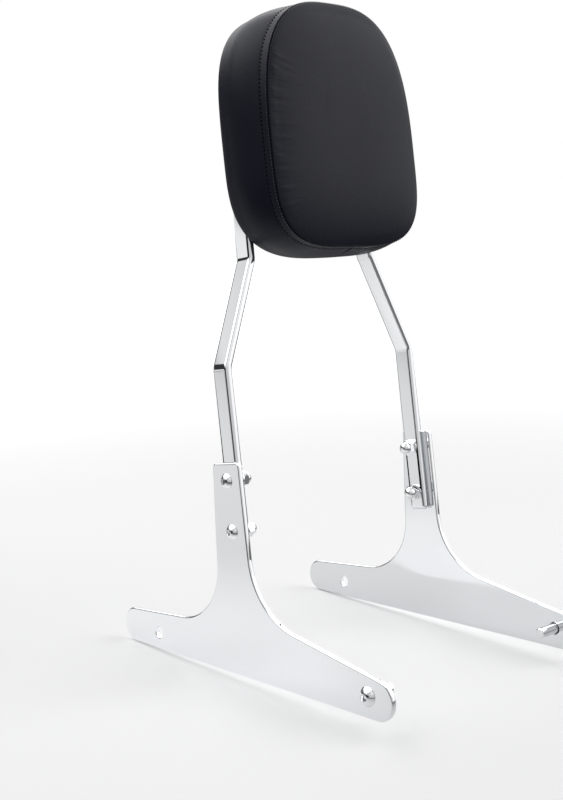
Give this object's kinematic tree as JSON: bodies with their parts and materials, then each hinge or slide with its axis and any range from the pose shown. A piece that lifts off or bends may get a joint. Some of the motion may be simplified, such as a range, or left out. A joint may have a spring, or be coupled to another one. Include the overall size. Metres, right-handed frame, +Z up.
{
  "type": "sissy bar",
  "caption": "Leaning flat-bar backrest frame with a hoop, a padded backrest and a bolted sideplate on each side.",
  "frame": {"origin": "midway between the sideplates, on the common axis of their rear strut holes", "axes": "+Z up as installed, -Y towards the front of the motorcycle, -X towards its right side; X is the axis of the strut holes"},
  "size_m": [0.2654, 0.3532, 0.5987],
  "materials": {
    "chrome": "polished chrome plate on steel",
    "bright_steel": "chromed socket hardware",
    "black_steel": "black zinc-plated steel",
    "zinc_steel": "yellow zinc-plated steel",
    "back_cover": "pebbled black polymer sheet",
    "base_board": "plywood board",
    "foam": "moulded polyurethane foam",
    "vinyl": "smooth black upholstery vinyl with a fine leather grain"
  },
  "bodies": {
    "root": {"upright": "chrome", "pad_strap_lower": "chrome", "pad_strap_upper": "chrome", "sideplate_right": "chrome", "sideplate_left": "chrome", "upright_screw_right_lower": "bright_steel", "upright_screw_right_upper": "bright_steel", "upright_screw_left_lower": "bright_steel", "upright_screw_left_upper": "bright_steel", "upright_washer_right_lower": "bright_steel", "upright_washer_right_upper": "bright_steel", "upright_washer_left_lower": "bright_steel", "upright_washer_left_upper": "bright_steel", "acorn_nut_right_lower": "bright_steel", "acorn_nut_right_upper": "bright_steel", "acorn_nut_left_lower": "bright_steel", "acorn_nut_left_upper": "bright_steel", "strut_screw_right": "bright_steel", "strut_screw_left": "bright_steel", "pad_screws": "black_steel", "pad_screw_washers": "black_steel", "tee_nuts": "zinc_steel", "pad_back_cover": "back_cover", "pad_base_board": "base_board", "pad_foam": "foam", "pad_gusset": "vinyl", "pad_front_panel": "vinyl"}
  },
  "joints": []
}
